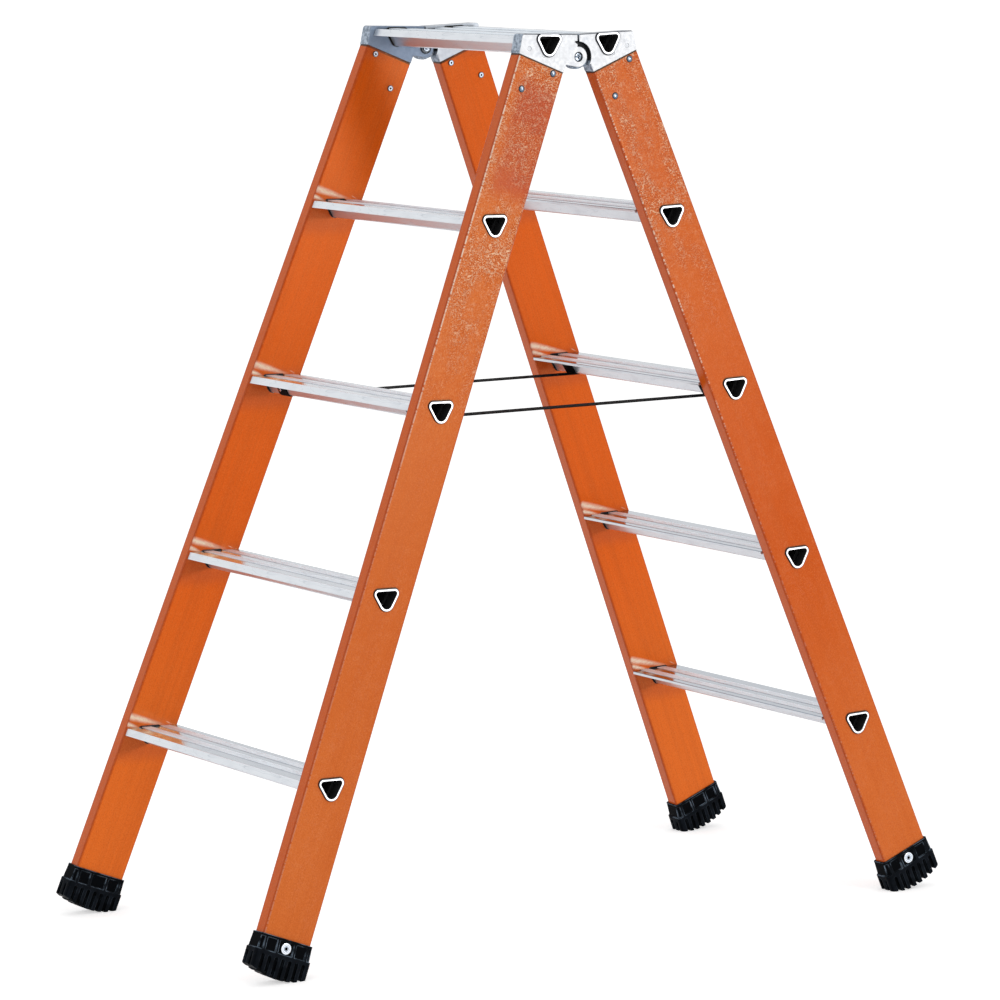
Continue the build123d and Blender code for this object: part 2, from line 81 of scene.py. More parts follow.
def new_material(name):
    """An empty node material with its output node."""
    material = bpy.data.materials.new(name)
    material.use_nodes = True
    material.node_tree.nodes.clear()
    return material, material.node_tree, material.node_tree.nodes.new("ShaderNodeOutputMaterial")


def lit_or_seen(tree, lighting, seen):
    """One shader for the rays that light the scene, another for rays from the camera, a mirror or glass."""
    path = node(tree, "ShaderNodeLightPath").outputs
    shown = largest(tree, path["Is Camera Ray"], path["Is Glossy Ray"], path["Is Transmission Ray"])
    inputs = {0: shown, 1: lighting.outputs[0], 2: seen.outputs[0]}
    return node(tree, "ShaderNodeMixShader", inputs).outputs[0]


pure_white = (1, 1, 1, 1)
surround_light = 0.66
world = bpy.data.worlds.new("studio_surround")
scene.world = world
world.use_nodes = True
tree = world.node_tree
tree.nodes.clear()
lighting = node(tree, "ShaderNodeBackground", {"Color": pure_white, "Strength": surround_light})
white = node(tree, "ShaderNodeBackground", {"Color": pure_white, "Strength": 1.0})
node(tree, "ShaderNodeOutputWorld", {"Surface": lit_or_seen(tree, lighting, white)})

floor_reach = 60.0
floor_white = (0.93, 0.93, 0.93, 1)
floor_glow = 0.5
floor_mesh = bpy.data.meshes.new("studio_floor")
floor_corners = np.array([(-1, -1, 0), (1, -1, 0), (1, 1, 0), (-1, 1, 0)]) * floor_reach
floor_mesh.from_pydata(floor_corners.tolist(), [], [(0, 1, 2, 3)])
floor = bpy.data.objects.new("studio_floor", floor_mesh)
scene.collection.objects.link(floor)
floor_material, tree, output = new_material("studio_floor")
paper = node(tree, "ShaderNodeBsdfDiffuse", {"Color": floor_white})
glow = node(tree, "ShaderNodeEmission", {"Color": pure_white, "Strength": floor_glow})
lifted = node(tree, "ShaderNodeAddShader", {0: paper.outputs[0], 1: glow.outputs[0]})
tree.links.new(lit_or_seen(tree, paper, lifted), output.inputs["Surface"])
floor_mesh.materials.append(floor_material)


def softbox(name, place, aim, width, height, watts):
    """Rectangular lamp at place that faces aim."""
    lamp = bpy.data.lights.new(name, "AREA")
    lamp.shape = "RECTANGLE"
    lamp.size = width
    lamp.size_y = height
    lamp.energy = watts
    made = bpy.data.objects.new(name, lamp)
    made.location = place
    made.rotation_euler = (Vector(aim) - Vector(place)).to_track_quat("-Z", "Y").to_euler()
    scene.collection.objects.link(made)


object_middle = (0.0, 0.0, 0.6)
softbox("key_softbox", place=(2.73, -5.98, 1.10), aim=object_middle, width=0.85, height=0.85, watts=122)
softbox("edge_strip", place=(-3.6, -0.4, 1.5), aim=object_middle, width=0.2, height=1.5, watts=8)

# The camera stands off the front right corner at about head height, with a long lens.
camera_place = (-3.5444, -5.4979, 1.4215)
camera_turn = radians(-32.82)
camera_dip = radians(7.62)
camera_roll = radians(-0.40)
lens_in_pixels = 4919.65
frame_pixels = 1000
camera_data = bpy.data.cameras.new("camera")
camera_data.sensor_width = 36.0
camera_data.lens = camera_data.sensor_width * lens_in_pixels / frame_pixels
camera_data.clip_end = 100
camera = bpy.data.objects.new("camera", camera_data)
forward = Vector((-sin(camera_turn) * cos(camera_dip), cos(camera_turn) * cos(camera_dip), -sin(camera_dip)))
level = Vector((cos(camera_turn), sin(camera_turn), 0))
above = level.cross(forward)
right = level * cos(camera_roll) + above * sin(camera_roll)
upright = above * cos(camera_roll) - level * sin(camera_roll)
camera_axes = Matrix((right, upright, -forward)).transposed()
camera.matrix_world = Matrix.Translation(camera_place) @ camera_axes.to_4x4()
scene.collection.objects.link(camera)
scene.camera = camera


# Fibreglass stiles
# Hollow pultruded boxes of orange polyester resin over glass rovings, with a wrinkled surface veil on
# the broad faces. Cut square, drilled for the treads and riveted to the heads.

flights = (("front", radians(180)), ("rear", 0.0))
hands = (("right", 1), ("left", -1))
lean = radians(21.65)
splay = radians(2.986)
tread_tilt = radians(1.8)
axis_offset = 0.0475
top_level = 1.163426
stile_middle = 0.18519
stile_half_depth = 0.0365
stile_half_thickness = 0.0105
stile_start = 0.0268
first_tread_down = 0.246
tread_pitch = 0.250
flange_width = 0.0042
tube_top = 0.0090
tube_point = -0.0183
tube_half_width = 0.0160
tube_depth = 0.0273
tube_half_angle = atan(tube_half_width / tube_depth)
tube_top_radius = 0.0022
tube_point_radius = 0.0050
end_point_radius = 0.0070


def product(tree, value, *factors):
    """The values multiplied together."""
    for factor in factors:
        value = math_node(tree, "MULTIPLY", value, factor)
    return value


def ramp(tree, value, low, high, start=0.0, end=1.0):
    """Value carried from the range low..high to start..end along a smooth step, and held there outside it."""
    limits = {"Value": value, "From Min": low, "From Max": high, "To Min": start, "To Max": end}
    return node(tree, "ShaderNodeMapRange", limits, interpolation_type="SMOOTHSTEP").outputs["Result"]


def near(tree, value, limit, start, full, end=1.0):
    """0 where a value lies start short of a limit, and end where it lies full short of it."""
    return ramp(tree, value, limit - start, limit - full, 0.0, end)


def between_ramp(tree, value, low, high, soft):
    """1 between low and high, falling to 0 over a soft margin outside them."""
    return product(tree, ramp(tree, value, low - soft, low), ramp(tree, value, high + soft, high))


def split(tree, vector):
    """The X, Y and Z parts of a vector."""
    return node(tree, "ShaderNodeSeparateXYZ", {0: vector}).outputs


def axis_radius(tree, x, z):
    """Distance of a point at x and z from the Y axis."""
    flat = node(tree, "ShaderNodeCombineXYZ", {"X": x, "Z": z}).outputs[0]
    return node(tree, "ShaderNodeVectorMath", {0: flat}, operation="LENGTH").outputs["Value"]


def stretched_noise(tree, vector, scale, detail=2.0, turn=0.0):
    """Noise whose grain is 1 / scale long on each axis, after a turn about Y."""
    if turn:
        inputs = {"Vector": vector, "Angle": turn}
        vector = node(tree, "ShaderNodeVectorRotate", inputs, rotation_type="Y_AXIS").outputs[0]
    scaled = node(tree, "ShaderNodeVectorMath", {0: vector, 1: scale}, operation="MULTIPLY").outputs[0]
    return node(tree, "ShaderNodeTexNoise", {"Vector": scaled, "Scale": 1.0, "Detail": detail}).outputs[0]


def blend_colour(tree, factor, first, second):
    """Colour mixed from the first to the second by a factor."""
    return node(tree, "ShaderNodeMix", {0: factor, 6: first, 7: second}, data_type="RGBA").outputs[2]


def blend_value(tree, factor, first, second):
    """Number mixed from the first to the second by a factor."""
    return node(tree, "ShaderNodeMix", {0: factor, 2: first, 3: second}, data_type="FLOAT").outputs[0]


def new_group(name, inputs, outputs):
    """A shader node group with named float or vector sockets, and the sockets inside it."""
    group = bpy.data.node_groups.new(name, "ShaderNodeTree")
    for label, kind, value in inputs:
        socket = group.interface.new_socket(label, in_out="INPUT", socket_type=kind)
        if value is not None:
            socket.default_value = value
    for label, kind in outputs:
        group.interface.new_socket(label, in_out="OUTPUT", socket_type=kind)
    return group, group.nodes.new("NodeGroupInput").outputs, group.nodes.new("NodeGroupOutput").inputs


def use_group(tree, group, inputs):
    """One placing of a node group in a material."""
    return node(tree, "ShaderNodeGroup", inputs, node_tree=group).outputs


def object_coordinates(tree):
    """The piece's coordinates in the shared frame."""
    return node(tree, "ShaderNodeTexCoord").outputs["Object"]


def carried(tree, vector, place, turn):
    """A vector carried into the frame at a place, with its turn about X, Y and Z."""
    inputs = {"Vector": vector, "Location": place, "Rotation": turn}
    return node(tree, "ShaderNodeMapping", inputs, vector_type="TEXTURE").outputs[0]


def stile_coordinates(tree, turn, side):
    """A stile's own frame, from the top tread: X out to the climber, Y across the stile and Z up it."""
    place = Matrix.Rotation(turn, 3, "Z") @ Vector((axis_offset, side * stile_middle, top_level))
    return carried(tree, object_coordinates(tree), place, (side * splay, -lean, turn))


def streak_coordinates(tree, vector, start, end, sign):
    """Distances along and aside from the line between two points of a tread's section, mirrored by a sign."""
    turn = atan2(start[1] - end[1], sign * (end[0] - start[0]))
    parts = split(tree, carried(tree, vector, (sign * start[0], 0, start[1]), (0, turn, 0)))
    return parts["X"], parts["Z"]


def surface(tree, output, colour, rough, relief, extra, normal=None):
    """A shaded surface: relief is its height, strength and depth, and extra holds its other inputs."""
    bump = dict(zip(("Height", "Strength", "Distance"), relief))
    if normal is not None:
        bump["Normal"] = normal
    raised = node(tree, "ShaderNodeBump", bump).outputs[0]
    inputs = {"Base Color": colour, "Roughness": rough, "Normal": raised, **extra}
    shader = node(tree, "ShaderNodeBsdfPrincipled", inputs)
    tree.links.new(shader.outputs[0], output.inputs["Surface"])


def give_material(name, material):
    """Put a material on a carried-over CAD node."""
    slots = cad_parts[name].data.materials
    slots.clear()
    slots.append(material)


# How far a point stands outside the tread tube's section: the greater of its distances to the top and to the
# sloping side, or where a rounded corner is nearer, the distance to the corner's centre less its radius.
tube_section, entry, leave = new_group(
    "tread_tube_section",
    [("Vector", "NodeSocketVector", None), ("Point Radius", "NodeSocketFloat", end_point_radius)],
    [("Distance", "NodeSocketFloat")],
)
top_corner_level = tube_top - tube_top_radius
top_corner_rise = top_corner_level - tube_point
top_corner_out = (top_corner_rise * sin(tube_half_angle) - tube_top_radius) / cos(tube_half_angle)
top_corner_along = top_corner_out * sin(tube_half_angle) + top_corner_rise * cos(tube_half_angle)
point_radius = entry["Point Radius"]
point_corner_rise = math_node(tube_section, "DIVIDE", point_radius, sin(tube_half_angle))
point_corner_level = math_node(tube_section, "ADD", point_corner_rise, tube_point)
point_corner_along = math_node(tube_section, "DIVIDE", point_radius, tan(tube_half_angle))
parts = split(tube_section, entry["Vector"])
aside = math_node(tube_section, "ABSOLUTE", parts["X"])
up = math_node(tube_section, "SUBTRACT", parts["Z"], tube_point)
across_side = math_node(
    tube_section,
    "SUBTRACT",
    product(tube_section, aside, cos(tube_half_angle)),
    product(tube_section, up, sin(tube_half_angle)),
)
along_side = math_node(
    tube_section,
    "ADD",
    product(tube_section, aside, sin(tube_half_angle)),
    product(tube_section, up, cos(tube_half_angle)),
)
past_top_corner = product(
    tube_section,
    math_node(tube_section, "GREATER_THAN", along_side, top_corner_along),
    math_node(tube_section, "GREATER_THAN", aside, top_corner_out),
)
past_point_corner = math_node(tube_section, "LESS_THAN", along_side, point_corner_along)
distance = largest(tube_section, across_side, math_node(tube_section, "SUBTRACT", parts["Z"], tube_top))
for centre_out, centre_level, radius, beyond in (
    (top_corner_out, top_corner_level, tube_top_radius, past_top_corner),
    (0.0, point_corner_level, point_radius, past_point_corner),
):
    out = math_node(tube_section, "SUBTRACT", aside, centre_out)
    high = math_node(tube_section, "SUBTRACT", parts["Z"], centre_level)
    from_corner = math_node(tube_section, "SUBTRACT", axis_radius(tube_section, out, high), radius)
    distance = blend_value(tube_section, beyond, distance, from_corner)
tube_section.links.new(distance, leave["Distance"])

# Painted shade in crevices: dark where other surfaces stand close around a point.
crevice, entry, leave = new_group(
    "ambient_shade", [("Reach", "NodeSocketFloat", 0.003)], [("Crevice Shade", "NodeSocketFloat")]
)
open_sky = node(crevice, "ShaderNodeAmbientOcclusion", {"Distance": entry["Reach"]}, samples=6).outputs["AO"]
crevice.links.new(ramp(crevice, open_sky, 0.75, 0.25), leave["Crevice Shade"])

# The veil: a wrinkled mat of short glass fibres under the resin, which shows as pale crests between dark
# pits, and a slow cloudy drift in how much resin covers it. The pale crests also carry painted glints, and
# the dark pits painted shade.
fibre_grains = ((0.95, (300, 300, 120)), (-0.55, (320, 320, 120)), (1.75, (280, 280, 110)))
tuft_grain = (150, 150, 80)
wrinkle_grain = (780, 780, 520)
wrinkle_turn = 0.8
drift_grain = (36, 36, 14)
veil, entry, leave = new_group(
    "glass_veil",
    [("Vector", "NodeSocketVector", None)],
    [("Crests", "NodeSocketFloat"), ("Pits", "NodeSocketFloat"), ("Cloud", "NodeSocketFloat")],
)
fibres = []
for turn, grain in fibre_grains:
    thread = stretched_noise(veil, entry["Vector"], grain, 0.0, turn)
    off = math_node(veil, "ABSOLUTE", math_node(veil, "SUBTRACT", thread, 0.5))
    tuft = stretched_noise(veil, entry["Vector"], tuft_grain, 1.0, turn)
    fibres.append(product(veil, ramp(veil, off, 0.06, 0.0), ramp(veil, tuft, 0.50, 0.62)))
wrinkles = stretched_noise(veil, entry["Vector"], wrinkle_grain, 1.0, wrinkle_turn)
veil.links.new(largest(veil, ramp(veil, wrinkles, 0.57, 0.68), *fibres), leave["Crests"])
veil.links.new(ramp(veil, wrinkles, 0.46, 0.38), leave["Pits"])
veil.links.new(stretched_noise(veil, entry["Vector"], drift_grain, 3.0), leave["Cloud"])

resin_orange = {"front": (0.590, 0.094, 0.004, 1), "rear": (0.590, 0.072, 0.000, 1)}
resin_thin = {"front": (0.63, 0.116, 0.010, 1), "rear": (0.60, 0.086, 0.002, 1)}
resin_bare_and_lit = (0.79, 0.112, 0.004, 1)
resin_narrow = (0.68, 0.096, 0.000, 1)
resin_yellow = (0.69, 0.160, 0.030, 1)
resin_yellow_bare_and_lit = (0.84, 0.172, 0.020, 1)
resin_deep_and_shadow = (0.50, 0.072, 0.008, 1)
resin_blush = (0.50, 0.058, 0.022, 1)
resin_pit_and_shade = (0.38, 0.036, 0.010, 1)
resin_shadow = (0.42, 0.070, 0.030, 1)
resin_tint = (1.0, 0.62, 0.28, 1)
fibre_pale_and_glint = (0.98, 0.68, 0.45, 1)
grit_pale = (0.78, 0.26, 0.08, 1)
reflection_cream = (1.0, 0.84, 0.66, 1)
glass_and_highlight_white = (0.92, 0.76, 0.62, 1)
grime_and_shade = (0.020, 0.010, 0.009, 1)
blush_strength = {"front": 0.90, "rear": 0.15}
pale_strength = {"front": 0.90, "rear": 0.75}
stitch_lows = {"front": 0.34, "rear": 0.50}
minus_x_side = {"front": 1, "rear": -1}

# Distances down the stile, and for the painted shadow up from a tread, over which a look comes or goes.
veil_ends = {"front": (0.26, 0.54), "rear": (0.18, 0.46)}
thin_ends = (0.25, 0.55)
yellow_ends = (0.70, 1.15)
blush_ends = (0.070, 0.190)
blush_soft = 0.035
corner_highlight_ends = (0.25, 0.75)
shadow_ends = (-0.022, 0.004)
shadow_soft = 0.022

roving_grain = (420, 420, 2.2)
band_grain = (70, 70, 1.6)
blotch_grain = (34, 34, 22)
stitch_grain = (20, 20, 430)
streak_grain = (150, 150, 420)
grit_grain = (650, 650, 500)
speck_scale = 45.0

# Each streak of painted reflection: start and end in the tread's section, half width at the start, and
# strength.
reflection_streaks = {
    "front": (
        ((0.0345, 0.0164), (0.0140, 0.0090), 0.0046, 1.00),
        ((0.0300, 0.0262), (-0.0300, 0.0090), 0.0070, 0.95),
        ((-0.0255, 0.0156), (-0.0355, 0.0105), 0.0009, 0.60),
    ),
    "rear": (
        ((0.0450, 0.0172), (0.0140, 0.0090), 0.0046, 1.00),
        ((0.0480, 0.0272), (-0.0240, 0.0090), 0.0070, 0.90),
        ((-0.0215, 0.0156), (-0.0315, 0.0105), 0.0009, 0.60),
    ),
}

for flight, turn in flights:
    for hand, side in hands:
        name = f"{flight}_{hand}_stile"
        material, tree, output = new_material(f"{name}_fibreglass")
        local = stile_coordinates(tree, turn, side)
        parts = split(tree, local)
        outward = product(tree, parts["Y"], side)
        down = product(tree, parts["Z"], -1.0)
        depth = math_node(tree, "ABSOLUTE", parts["X"])
        thickness = math_node(tree, "ABSOLUTE", parts["Y"])
        outer_face = near(tree, outward, stile_half_thickness, 0.0020, 0.0004)
        inner_face = near(tree, outward, -stile_half_thickness, -0.0020, -0.0004)
        narrow_face = near(tree, depth, stile_half_depth, 0.0008, 0.0003)
        from_inner = ramp(tree, outward, -stile_half_thickness, 0.0)

        # Resin over rovings: lighter inside, partly as painted light on the inner faces, thin near the top,
        # yellowed near the foot.
        rovings = stretched_noise(tree, local, roving_grain)
        bands = stretched_noise(tree, local, band_grain)
        colour = blend_colour(tree, from_inner, resin_bare_and_lit, resin_orange[flight])
        thin = product(tree, ramp(tree, down, *thin_ends, 1.0, 0.0), outer_face)
        colour = blend_colour(tree, thin, colour, resin_thin[flight])
        yellow = blend_colour(tree, from_inner, resin_yellow_bare_and_lit, resin_yellow)
        colour = blend_colour(tree, ramp(tree, down, *yellow_ends, 0.0, 0.75), colour, yellow)
        colour = blend_colour(tree, narrow_face, colour, resin_narrow)
        colour = blend_colour(tree, ramp(tree, rovings, 0.35, 0.75, 0.0, 0.18), colour, resin_deep_and_shadow)
        colour = blend_colour(tree, ramp(tree, bands, 0.42, 0.70, 0.0, 0.14), colour, resin_deep_and_shadow)
        blotches = ramp(tree, stretched_noise(tree, local, blotch_grain), 0.36, 0.62, 0.60, 1.0)
        blush = product(
            tree,
            between_ramp(tree, down, *blush_ends, blush_soft),
            outer_face,
            ramp(tree, parts["X"], 0.034, 0.012),
            blotches,
            blush_strength[flight],
        )
        colour = blend_colour(tree, blush, colour, resin_blush)

        # The veil shows on the outer face near the top, in drifts, and is buried in resin lower down. Its
        # pale crests there are painted glints as well as fibres.
        texture = use_group(tree, veil, {"Vector": local})
        drift = ramp(tree, texture["Cloud"], 0.38, 0.60, 0.22, 1.0)
        high_up = ramp(tree, down, *veil_ends[flight], 1.0, 0.05)
        shown_veil = product(tree, drift, high_up, outer_face)
        colour = blend_colour(tree, product(tree, texture["Pits"], shown_veil, 0.75), colour, resin_pit_and_shade)
        pale = ramp(tree, blush, 0.0, 0.9, pale_strength[flight], 0.45)
        colour = blend_colour(tree, product(tree, texture["Crests"], shown_veil, pale), colour, fibre_pale_and_glint)

        # Painted shade darkens the corners and the arris, and a broken pale line along the outer corner on
        # the minus X side is painted highlight over bare glass.
        # Painted shade along the corners of the broad faces.
        edge = near(tree, depth, stile_half_depth, 0.0034, 0.0010, 0.45)
        edge = product(tree, edge, math_node(tree, "SUBTRACT", 1.0, narrow_face))
        colour = blend_colour(tree, edge, colour, resin_pit_and_shade)
        leading = product(tree, parts["X"], minus_x_side[flight])
        stitches = stretched_noise(tree, local, stitch_grain, 1.0)
        stitch_low = stitch_lows[flight]
        corner_highlight = product(
            tree,
            outer_face,
            near(tree, leading, stile_half_depth, 0.0034, 0.0016),
            near(tree, depth, stile_half_depth, 0.0004, 0.0012),
            ramp(tree, stitches, stitch_low, stitch_low + 0.14),
            ramp(tree, down, *corner_highlight_ends, 0.90, 0.15),
        )
        colour = blend_colour(tree, corner_highlight, colour, glass_and_highlight_white)
        # Painted shade along the arris between the narrow and broad faces.
        arris = near(tree, thickness, stile_half_thickness, 0.0050, 0.0020)
        arris = product(tree, arris, near(tree, depth, stile_half_depth, 0.0013, 0.0006, 0.45))
        colour = blend_colour(tree, arris, colour, resin_pit_and_shade)

        # Painted shade round the rolled ends of the treads, darkest at the flange's edge where grime is mixed
        # in, a black line of painted shade at the cut end, and painted shade in the crevices where pieces
        # meet.
        half_pitch = tread_pitch / cos(splay) / 2
        from_first = math_node(tree, "ADD", parts["Z"], first_tread_down / cos(splay))
        wrap = {0: from_first, 1: half_pitch, 2: -half_pitch}
        near_tread = node(tree, "ShaderNodeMath", wrap, operation="WRAP").outputs[0]
        flat = node(tree, "ShaderNodeCombineXYZ", {"X": parts["X"], "Z": near_tread}).outputs[0]
        tread_frame = carried(tree, flat, (0, 0, 0), (0, lean - tread_tilt, 0))
        from_tube = use_group(tree, tube_section, {"Vector": tread_frame})["Distance"]
        # Painted shadow round each flange, with an outline of painted shade and grime at its edge.
        flange_shadow = ramp(tree, from_tube, flange_width + 0.0045, flange_width + 0.0004, 0.0, 0.45)
        seam = ramp(tree, from_tube, flange_width + 0.0014, flange_width + 0.0006, 0.0, 0.95)
        # A black line of painted shade at the cut end, where the stile meets the head.
        cut_end = ramp(tree, down, stile_start + 0.0026, stile_start + 0.0014, 0.0, 0.95)
        painted_shade = product(tree, use_group(tree, crevice, {"Reach": 0.0025})["Crevice Shade"], 0.8)
        painted_shade = largest(tree, painted_shade, product(tree, seam, outer_face), cut_end)
        colour = blend_colour(tree, product(tree, flange_shadow, outer_face), colour, resin_deep_and_shadow)
        colour = blend_colour(tree, painted_shade, colour, grime_and_shade)

        # The inner face carries a painted shadow under each tread, and above it pale streaks of painted
        # reflection, light thrown up by the tread, that fall towards the plate.
        above_tread = split(tree, tread_frame)["Z"]
        tread_shadow = product(tree, between_ramp(tree, above_tread, *shadow_ends, shadow_soft), inner_face, 0.40)
        colour = blend_colour(tree, tread_shadow, colour, resin_shadow)
        streak_breakup = ramp(tree, stretched_noise(tree, local, streak_grain), 0.34, 0.60, 0.70, 1.0)
        for start, end, width, strength in reflection_streaks[flight]:
            along, aside = streak_coordinates(tree, tread_frame, start, end, minus_x_side[flight])
            length = dist(start, end)
            narrowed = math_node(tree, "DIVIDE", aside, ramp(tree, along, 0.0, length, width, 0.4 * width))
            streak = product(
                tree,
                ramp(tree, math_node(tree, "ABSOLUTE", narrowed), 1.0, 0.0, 0.0, strength),
                ramp(tree, along, -0.002, 0.002),
                ramp(tree, along, length, 0.3 * length),
                streak_breakup,
                inner_face,
            )
            colour = blend_colour(tree, streak, colour, reflection_cream)

        # Pale specks and fine grit all over, then the gloss.
        cells = {"Vector": local, "Scale": speck_scale}
        specks = node(tree, "ShaderNodeTexVoronoi", cells).outputs["Distance"]
        colour = blend_colour(tree, ramp(tree, specks, 0.055, 0.02, 0.0, 0.35), colour, grit_pale)
        grit = stretched_noise(tree, local, grit_grain, 1.0)
        colour = blend_colour(tree, ramp(tree, grit, 0.52, 0.72, 0.0, 0.20), colour, grit_pale)
        colour = blend_colour(tree, ramp(tree, grit, 0.48, 0.30, 0.0, 0.22), colour, resin_pit_and_shade)
        skin = math_node(tree, "SUBTRACT", texture["Crests"], texture["Pits"])
        skin = product(tree, skin, math_node(tree, "ADD", shown_veil, 0.06))
        height = math_node(tree, "ADD", skin, product(tree, rovings, 0.10))
        rough = ramp(tree, texture["Cloud"], 0.35, 0.70, 0.13, 0.20)
        rough = math_node(tree, "ADD", rough, product(tree, outer_face, 0.08))
        gloss = {"Specular IOR Level": 0.30, "Specular Tint": resin_tint}
        surface(tree, output, colour, rough, (height, 0.60, 0.0005), gloss)
        give_material(name, material)


# Treads
# Aluminium extrusions: a ribbed plate with a nosing, and a triangular tube under it whose ends go through
# the stiles and are rolled over outside. Mill finish, bright on the flutes, painted black inside the tube as
# shade.

top_tread_inset = 0.002
top_half_width = 0.1957
head_half_width = 0.1971
head_inner = head_half_width - 2 * stile_half_thickness
stile_slope = tan(splay)
stile_width = 2 * stile_half_thickness / cos(splay)
sleeve_bore = 0.0015
plate_height = 0.0095
lip_start = 0.0325
band_edges = ((-0.0306, -0.0162), (-0.0018, 0.0126))
band_soft = 0.0003
step_offset = 0.0006
step_half_width = 0.0004

# Handling marks: smudges, fine drawn lines along the extrusion, and scratches.
smudge_grain = (60, 28, 60)
line_grain = (1500, 3, 1500)
scratch_grain = (120, 22, 120)
handling, entry, leave = new_group(
    "handling_marks",
    [("Vector", "NodeSocketVector", None)],
    [("Smudge", "NodeSocketFloat"), ("Lines", "NodeSocketFloat"), ("Scratch", "NodeSocketFloat")],
)
smudge = stretched_noise(handling, entry["Vector"], smudge_grain, 5.0)
handling.links.new(ramp(handling, smudge, 0.45, 0.72), leave["Smudge"])
handling.links.new(stretched_noise(handling, entry["Vector"], line_grain), leave["Lines"])
scratch = stretched_noise(handling, entry["Vector"], scratch_grain, 1.0)
scratch = math_node(handling, "ABSOLUTE", math_node(handling, "SUBTRACT", scratch, 0.5))
handling.links.new(ramp(handling, scratch, 0.012, 0.0), leave["Scratch"])

smooth_strip = (0.29, 0.33, 0.39, 1)
flute_white = (0.87, 0.93, 0.99, 1)
step_shade = (0.16, 0.17, 0.20, 1)
nosing_grey = (0.79, 0.82, 0.86, 1)
under_grey = (0.66, 0.68, 0.72, 1)
rolled_white = (0.84, 0.85, 0.87, 1)
rim_shade_and_dirt = (0.055, 0.060, 0.075, 1)
bore_shade_black = (0.004, 0.004, 0.005, 1)
sleeve_shade = (0.030, 0.030, 0.034, 1)
smudge_and_shade_grey = (0.42, 0.46, 0.52, 1)


def tread_material(name, place, turn, half_inner, half_outer):
    """Mill-finish aluminium, zoned across the tread: flutes, smooth strips, nosing, tube and rolled ends."""
    material, tree, output = new_material(f"{name}_aluminium")
    local = carried(tree, object_coordinates(tree), place, (0, -tread_tilt, turn))
    parts = split(tree, local)
    marks = use_group(tree, handling, {"Vector": local})
    across = math_node(tree, "ABSOLUTE", parts["Y"])
    on_top = near(tree, parts["Z"], plate_height, 0.0012, 0.0004)
    flutes = 0.0
    steps = 0.0
    for low, high in band_edges:
        flutes = math_node(tree, "ADD", between_ramp(tree, parts["X"], low, high, band_soft), flutes)
        for edge in (low - step_offset, high + step_offset):
            step = between_ramp(tree, parts["X"], edge - step_half_width, edge + step_half_width, band_soft)
            steps = math_node(tree, "ADD", step, steps)
    flutes = product(tree, flutes, on_top)
    nosing = ramp(tree, parts["X"], lip_start, lip_start + 0.0006)
    rolled = near(tree, across, half_outer, 0.0004, 0.0)
    in_stile = ramp(tree, across, half_inner + 0.0001, half_inner + 0.0006)

    # The tube's bore and the sleeve spread in the stile are painted black as shade, as far as the rolled end.
    wall = ramp(tree, in_stile, 0.0, 1.0, -0.0010, sleeve_bore + 0.0004)
    point = blend_value(tree, in_stile, tube_point_radius, end_point_radius)
    distance = use_group(tree, tube_section, {"Vector": local, "Point Radius": point})["Distance"]
    bore = ramp(tree, math_node(tree, "SUBTRACT", wall, distance), -0.0002, 0.0003)
    sleeve = between_ramp(tree, across, half_inner + 0.0004, half_outer, 0.0003)
    sleeve = product(tree, sleeve, ramp(tree, distance, sleeve_bore + 0.0004, sleeve_bore + 0.0002))
    inside = ramp(tree, across, half_outer + 0.0011, half_outer + 0.0006)
    inside = product(tree, largest(tree, bore, sleeve), inside)

    colour = blend_colour(tree, on_top, under_grey, smooth_strip)
    colour = blend_colour(tree, flutes, colour, flute_white)
    # Painted shade along the steps at the edges of the fluted bands.
    colour = blend_colour(tree, product(tree, steps, on_top, 0.5), colour, step_shade)
    colour = blend_colour(tree, nosing, colour, nosing_grey)
    # Handling marks, with painted shade in the crevices.
    painted_shade = use_group(tree, crevice, {"Reach": 0.003})["Crevice Shade"]
    for mark in (
        ramp(tree, marks["Lines"], 0.35, 0.70, 0.0, 0.12),
        product(tree, marks["Smudge"], 0.16),
        product(tree, marks["Scratch"], 0.4),
        product(tree, painted_shade, 0.5),
    ):
        colour = blend_colour(tree, mark, colour, smudge_and_shade_grey)
    # The tube inside the stile is painted dark as shade.
    colour = blend_colour(tree, in_stile, colour, sleeve_shade)
    # The rolled end has a dark rim of painted shade and dirt.
    rim = near(tree, distance, flange_width, 0.0010, 0.0004)
    colour = blend_colour(tree, rolled, colour, blend_colour(tree, rim, rolled_white, rim_shade_and_dirt))
    colour = blend_colour(tree, inside, colour, bore_shade_black)

    rough = blend_value(tree, on_top, 0.30, 0.09)
    rough = blend_value(tree, flutes, rough, 0.45)
    rough = blend_value(tree, nosing, rough, 0.34)
    rough = math_node(tree, "ADD", rough, product(tree, marks["Smudge"], 0.12))
    rough = blend_value(tree, rolled, rough, 0.42)
    rough = blend_value(tree, inside, rough, 0.85)
    hidden = math_node(tree, "SUBTRACT", in_stile, rolled, clamp=True)
    metal = blend_value(tree, flutes, blend_value(tree, on_top, 0.75, 1.0), 0.60)
    metal = blend_value(tree, hidden, metal, 0.10)
    metal = math_node(tree, "SUBTRACT", metal, inside, clamp=True)
    height = math_node(tree, "ADD", marks["Lines"], product(tree, marks["Smudge"], 0.5))
    surface(tree, output, colour, rough, (height, 0.20, 0.0002), {"Metallic": metal})
    return material


def top_tread_place(turn):
    """Centre of the top tread's tube: set in from the flight's axis by the inset."""
    inset = Vector((-top_tread_inset * cos(lean), 0, -top_tread_inset * sin(lean)))
    return Matrix.Rotation(turn, 3, "Z") @ (Vector((axis_offset, 0, top_level)) + inset)


